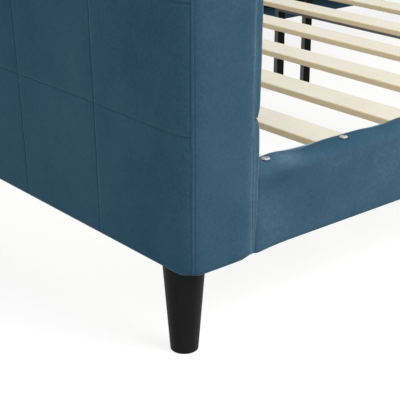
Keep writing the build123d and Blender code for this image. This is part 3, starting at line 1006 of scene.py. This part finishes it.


# The front rail's cover: foam and velvet folded over the slat ends and held by the slat screws.
# A patch of painted highlight or shade on the pile has a strength, a place and a reach from the arm, a
# level, a height and a slope, in millimetres
railCover = {
    "footRound": 3 * mm,
    "hang": 0.5 * mm,
    "endHang": 3.8 * mm,
    "endHangReach": 60 * mm,
    "endRise": 2.4 * mm,
    "endRiseReach": 190 * mm,
    "endPuff": 2.8 * mm,
    "puffNear": 40 * mm,
    "puffFar": 80 * mm,
    "rearPuffs": [(2.1 * mm, 50 * mm, 20 * mm), (0.7 * mm, 85 * mm, 30 * mm)],
    "rearStart": 28 * mm,
    "rearStartReach": 14 * mm,
    "rearPinch": 0.9 * mm,
    "pinchEnd": 36 * mm,
    "pinchFade": 12 * mm,
    "hollow": 2.6 * mm,
    "hollowLevel": 190 * mm,
    "hollowHeight": 20 * mm,
    "hollowReach": 320 * mm,
    # painted highlight and shade patches near the arms
    "patches": [
        (1.2, 52, 30, 228, 10, -0.25),
        (-0.45, 175, 80, 225, 10, 0),
        (-0.5, 55, 45, 206, 13, 0),
        (0.35, 150, 50, 203, 9, 0),
        (-0.5, 118, 36, 172, 24, 0),
        (0.72, 35, 32, 135, 30, 0),
        (0.3, 8, 24, 185, 28, 0),
        (0.38, 255, 75, 165, 50, 0),
    ],
    # painted shade along the top roll away from the arms
    "ridgeShade": 0.5,
    "ridgeLevel": 225 * mm,
    "ridgeHeight": 10 * mm,
    "ridgeFrom": 70 * mm,
    "ridgeTo": 105 * mm,
    "frontRound": 20 * mm,
    "sag": 2.6 * mm,
    "wave": (8, 9, 3),
    "waveHeight": 1.1 * mm,
    "topWave": 0.5,
    "ripple": (34, 12, 8),
    "rippleHeight": 0.35 * mm,
    "dimpleDepth": 1.8 * mm,
    "dimpleReach": 8 * mm,
    "rearFall": 5 * mm,
    "along": 5 * mm,
    "across": 2.6 * mm,
    "tuck": 3 * mm,
    "tuckReach": 10 * mm,
    "onTop": 0.99,
    "closeTo": 0.02 * mm,
}

# Slat screws: a head's profile is given in shares of its radius and its height
screwHead = {
    "radius": 5.7 * mm,
    "height": 1.7 * mm,
    "profile": [(0, 1), (0.32, 0.97), (0.62, 0.82), (0.85, 0.52), (0.97, 0.2), (1, 0)],
    "shank": 2.5 * mm,
    "shankLength": 30 * mm,
    "tipLength": 33 * mm,
    "sides": 24,
    "crossLong": 6.2 * mm,
    "crossWide": 1.8 * mm,
    "crossHigh": 2.6 * mm,
    "closeTo": 0.01 * mm,
    "lift": 0.6 * mm,
    "puffShare": 0.57,
    "forward": 4.2 * mm,
    "strays": [0.2 * mm, -4.9 * mm],
    "stray": 2 * mm,
    "straySeed": 5,
    "turnSeed": 7,
}
slatCount = 15
slatMiddles = []
for index in range(1, slatCount + 1):
    slatLow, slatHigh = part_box(f"slat_{index:02d}")
    slatMiddles.append((slatLow.x + slatHigh.x) / 2)
slatWidth = slatHigh.x - slatLow.x
screwLow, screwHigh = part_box("slat_screws")
frontScrewY = screwLow.y + screwHead["radius"] - screwHead["forward"]
rearScrewY = screwHigh.y - screwHead["radius"]


def strayedScrews():
    # The front screws stand over the slats' middles, the end ones further in, and all stray a little
    places = list(slatMiddles)
    places[0] = screwLow.x + screwHead["radius"]
    places[-1] = screwHigh.x - screwHead["radius"]
    chance = random.Random(screwHead["straySeed"])
    strays = list(screwHead["strays"])
    strays += [chance.uniform(-1, 1) * screwHead["stray"] for place in places[len(strays):]]
    return [place + stray for place, stray in zip(places, strays)]


screwXs = strayedScrews()


def puffBeside(endGap, behind):
    # Beside an arm the foam stands higher in front; behind, it is pinched first and then stands higher
    care = railCover
    near = easeStep((care["puffFar"] - endGap) / (care["puffFar"] - care["puffNear"]))
    front = care["endPuff"] * near
    rear = sum(height * bell(endGap, place, reach) for height, place, reach in care["rearPuffs"])
    rear *= easeStep((endGap - care["rearStart"]) / care["rearStartReach"])
    rear -= care["rearPinch"] * easeStep((care["pinchEnd"] - endGap) / care["pinchFade"])
    return between(front, rear, behind)


def railShade(endGap, z):
    # Painted highlight and shade in soft patches near an arm, and painted shade along the top further on
    care = railCover
    far = easeStep((endGap - care["ridgeFrom"]) / (care["ridgeTo"] - care["ridgeFrom"]))
    shade = -care["ridgeShade"] * far * bell(z, care["ridgeLevel"], care["ridgeHeight"])
    for strength, place, reach, level, height, slope in care["patches"]:
        middle = level + slope * (endGap / mm - place)
        shade += strength * bell(endGap / mm, place, reach) * bell(z / mm, middle, height)
    return shade


def railPuff(x, y, z, endGap, behind, topShare):
    # How far the cover's outer side stands out: it sags between slats, dips round a screw, swells
    # beside the arms and is a little uneven all over
    care = railCover
    gap = slatMiddles[1] - slatMiddles[0] - slatWidth
    near = min(slatMiddles, key=lambda middle: abs(middle - x))
    beyond = abs(x - near) - slatWidth / 2
    sagging = (1 - math.cos(math.pi * within(beyond / (gap / 2)))) / 2
    shift = -care["sag"] * sagging * topShare ** 2
    for key in ("wave", "ripple"):
        along, up, seed = care[key]
        calm = care["topWave"] * topShare if key == "wave" else 0.0
        shift += noise.noise(Vector((x * along, z * up, seed))) * care[f"{key}Height"] * (1 - calm)
    screw = min(screwXs, key=lambda place: abs(place - x))
    reach = math.hypot(x - screw, y - frontScrewY) / care["dimpleReach"]
    shift -= care["dimpleDepth"] * topShare * math.exp(-reach ** 2)
    shift += puffBeside(endGap, behind) * topShare ** 2
    hollow = care["hollow"] * fading(endGap, care["hollowReach"]) * (1 - topShare)
    return shift - hollow * bell(z, care["hollowLevel"], care["hollowHeight"])


def makeRailCover():
    care = railCover
    crownZ = railHigh.z
    frontRail = railLow.y
    foot = care["footRound"]
    bend = care["frontRound"]
    path = Path()
    path.straight((railBoard[0].y, railLow.z), (frontRail + foot, railLow.z), (0, -1))
    path.turn((frontRail + foot, railLow.z + foot), foot, (0, -1), (-1, 0))
    path.straight((frontRail, railLow.z + foot), (frontRail, crownZ - bend), (-1, 0))
    path.turn((frontRail + bend, crownZ - bend), bend, (-1, 0), (0, 1))
    path.straight((frontRail + bend, crownZ), (railHigh.y, crownZ), (0, 1))
    outerLength = path.length
    path.straight((railHigh.y, crownZ), (railHigh.y, slatTop), (1, 0))
    path.straight((railHigh.y, slatTop), (railBoard[0].y, slatTop), (0, -1))
    path.straight((railBoard[0].y, slatTop), (railBoard[0].y, railLow.z), (1, 0))
    columns = round(2 * bayHalf / care["along"]) + 1
    rows = round(path.length / care["across"]) + 1
    bm, spots = gridMesh(columns, rows)
    shadeLayer = bm.verts.layers.float["shade"]
    for vert, i, j in spots:
        x = -bayHalf + 2 * bayHalf * i / (columns - 1)
        s = path.length * j / (rows - 1)
        (y, z), outward = path.at(s)
        shift = 0.0
        endGap = bayHalf - abs(x)
        fall = care["rearFall"] - care["endRise"] * fading(endGap, care["endRiseReach"])
        behind = within((y - frontRail - bend) / (railHigh.y - frontRail - bend))
        topShare = within((z - crownZ + bend) / bend)
        if s <= outerLength:
            if z > railLow.z + foot:
                shift += railPuff(x, y, z, endGap, behind, topShare)
                if y < frontRail + bend:
                    # painted highlight and shade, kept as the shade attribute
                    vert[shadeLayer] = railShade(endGap, z)
            if topShare > care["onTop"]:
                shift -= fall * behind ** 2
            shift -= care["tuck"] * fading(endGap, care["tuckReach"]) ** 2 * (1 - topShare)
        footShare = 1 - within((z - railLow.z) / (crownZ - railLow.z))
        endShare = fading(endGap, care["endHangReach"])
        z -= (care["hang"] + care["endHang"] * endShare ** 2) * footShare ** 2
        if s > outerLength and z > slatTop + mm:
            rearTop = crownZ - fall + puffBeside(endGap, 1.0)
            z = slatTop + (z - slatTop) * (rearTop - slatTop) / (crownZ - slatTop)
        vert.co = (x, y + outward[0] * shift, z + outward[1] * shift)
    bmesh.ops.remove_doubles(bm, verts=bm.verts, dist=care["closeTo"])
    bmesh.ops.holes_fill(bm, edges=[edge for edge in bm.edges if edge.is_boundary], sides=0)
    piece = finishPiece("frontRailCover", bm, "velvet", ["front_rail_cover"])
    piece.data.materials[0] = railVelvet
    print("rail cover made")


def turnedScrew():
    # A round head on a plain shank, spun from its profile
    head = screwHead
    bm = bmesh.new()
    line = [bm.verts.new((out * head["radius"], 0, up * head["height"])) for out, up in head["profile"]]
    line.append(bm.verts.new((head["shank"], 0, 0)))
    line.append(bm.verts.new((head["shank"], 0, -head["shankLength"])))
    line.append(bm.verts.new((0, 0, -head["tipLength"])))
    edges = [bm.edges.new(pair) for pair in zip(line, line[1:])]
    bmesh.ops.spin(
        bm, geom=line + edges, cent=(0, 0, 0), axis=(0, 0, 1), angle=2 * math.pi,
        steps=head["sides"], use_merge=True,
    )
    bmesh.ops.remove_doubles(bm, verts=bm.verts, dist=head["closeTo"])
    bmesh.ops.recalc_face_normals(bm, faces=bm.faces)
    return bm


def crossCutter():
    head = screwHead
    sizes = (head["crossLong"], head["crossWide"])
    bm = bmesh.new()
    for long, wide in (sizes, sizes[::-1]):
        bar = bmesh.ops.create_cube(bm, size=1.0)["verts"]
        bmesh.ops.scale(bm, vec=(long, wide, head["crossHigh"]), verts=bar)
        bmesh.ops.translate(bm, vec=(0, 0, head["height"]), verts=bar)
    return bm


def makeScrews():
    # One screw with a cross cut in its head, set down at both ends of every slat
    head = screwHead
    blank, cross = (bpy.data.objects.new(name, bpy.data.meshes.new(name)) for name in ("blank", "cross"))
    for item, bm in ((blank, turnedScrew()), (cross, crossCutter())):
        bm.to_mesh(item.data)
        bm.free()
        bpy.context.scene.collection.objects.link(item)
    cut = blank.modifiers.new("cross", "BOOLEAN")
    cut.operation = "DIFFERENCE"
    cut.solver = "EXACT"
    cut.use_self = True
    cut.object = cross
    shaped = bpy.data.meshes.new_from_object(blank.evaluated_get(bpy.context.evaluated_depsgraph_get()))
    bpy.data.objects.remove(blank)
    bpy.data.objects.remove(cross)
    seatZ = screwHigh.z - head["height"] + head["lift"]
    places = []
    for x in screwXs:
        raised = head["puffShare"] * puffBeside(bayHalf - abs(x), 0.0)
        places.append((x, frontScrewY, seatZ + raised))
    places += [(x, rearScrewY, slatTop) for x in slatMiddles]
    chance = random.Random(head["turnSeed"])
    bm = bmesh.new()
    for place in places:
        before = len(bm.verts)
        bm.from_mesh(shaped)
        bm.verts.ensure_lookup_table()
        turned = chance.uniform(0, math.pi / 2)
        cosine, sine = math.cos(turned), math.sin(turned)
        for vert in bm.verts[before:]:
            x, y, z = vert.co
            vert.co = (x * cosine - y * sine + place[0], x * sine + y * cosine + place[1], z + place[2])
    finishPiece("slatScrews", bm, "screw_steel", ["slat_screws"], smooth=False)
    print("screws made:", len(places))


makeArm(-1, "left")
makeArm(1, "right")
makeBack()
makeRailCover()
makeScrews()


# Studio: a pale floor, soft even light and the viewpoint of the picture
studio = {
    "camera": (-halfLength - 0.703, frontY - 0.857, 0.662),
    "pitch": 21.81,
    "yaw": 39.82,
    "lens": 97.155,
    "sensor": 36,
    "farEnd": 50,
    "sky": 0.45,
    "lamps": {
        "key": {"from": (0.6, -0.9, 0.9), "energy": 2.8, "softness": 50, "shadow": True},
        "fill": {"from": (-0.85, -0.3, 0.43), "energy": 1.2, "softness": 80, "shadow": False},
    },
    "floorSize": 14,
    "floorColour": 0.35,
    "floorRough": 0.9,
    "floorLift": 0.75,
}


def makeFloor():
    bm = bmesh.new()
    bmesh.ops.create_grid(bm, x_segments=1, y_segments=1, size=studio["floorSize"] / 2)
    mesh = bpy.data.meshes.new("floor")
    bm.to_mesh(mesh)
    bm.free()
    floor = bpy.data.objects.new("floor", mesh)
    bpy.context.scene.collection.objects.link(floor)
    shader = Shader("paleFloor")
    grey = studio["floorColour"]
    shader.set(Base_Color=(grey, grey, grey, 1), Roughness=studio["floorRough"])
    shader.set(Specular_IOR_Level=0.0)
    lift = {"Color": (1, 1, 1, 1), "Strength": shader.seen() * studio["floorLift"]}
    glow = shader.node("ShaderNodeEmission", {}, lift)
    lit = Wire(shader, shader.surface.outputs[0])
    both = shader.node("ShaderNodeAddShader", {}, {0: lit, 1: glow})
    shader.tree.links.new(both.socket, shader.tree.nodes["Material Output"].inputs["Surface"])
    mesh.materials.append(shader.material)


def makeSky():
    # White to look at, and dimmer as a light
    world = bpy.data.worlds.new("studio")
    bpy.context.scene.world = world
    world.use_nodes = True
    network = Network(world.node_tree)
    sky = network.tree.nodes["Background"]
    sky.inputs["Color"].default_value = (1, 1, 1, 1)
    strength = network.seen() * (1 - studio["sky"]) + studio["sky"]
    network.tree.links.new(strength.socket, sky.inputs["Strength"])


def makeLamps():
    for name, about in studio["lamps"].items():
        light = bpy.data.lights.new(name, "SUN")
        light.energy = about["energy"]
        light.angle = math.radians(about["softness"])
        light.use_shadow = about["shadow"]
        lamp = bpy.data.objects.new(name, light)
        lamp.rotation_euler = Vector(about["from"]).to_track_quat("Z", "Y").to_euler()
        bpy.context.scene.collection.objects.link(lamp)


def makeCamera():
    lens = bpy.data.cameras.new("camera")
    lens.sensor_width = studio["sensor"]
    lens.lens = studio["lens"]
    lens.clip_end = studio["farEnd"]
    camera = bpy.data.objects.new("camera", lens)
    camera.location = studio["camera"]
    camera.rotation_euler = (math.radians(90 - studio["pitch"]), 0, -math.radians(studio["yaw"]))
    bpy.context.scene.collection.objects.link(camera)
    bpy.context.scene.camera = camera


makeFloor()
makeSky()
makeLamps()
makeCamera()
bpy.context.scene.view_settings.view_transform = "Standard"
print("studio set")
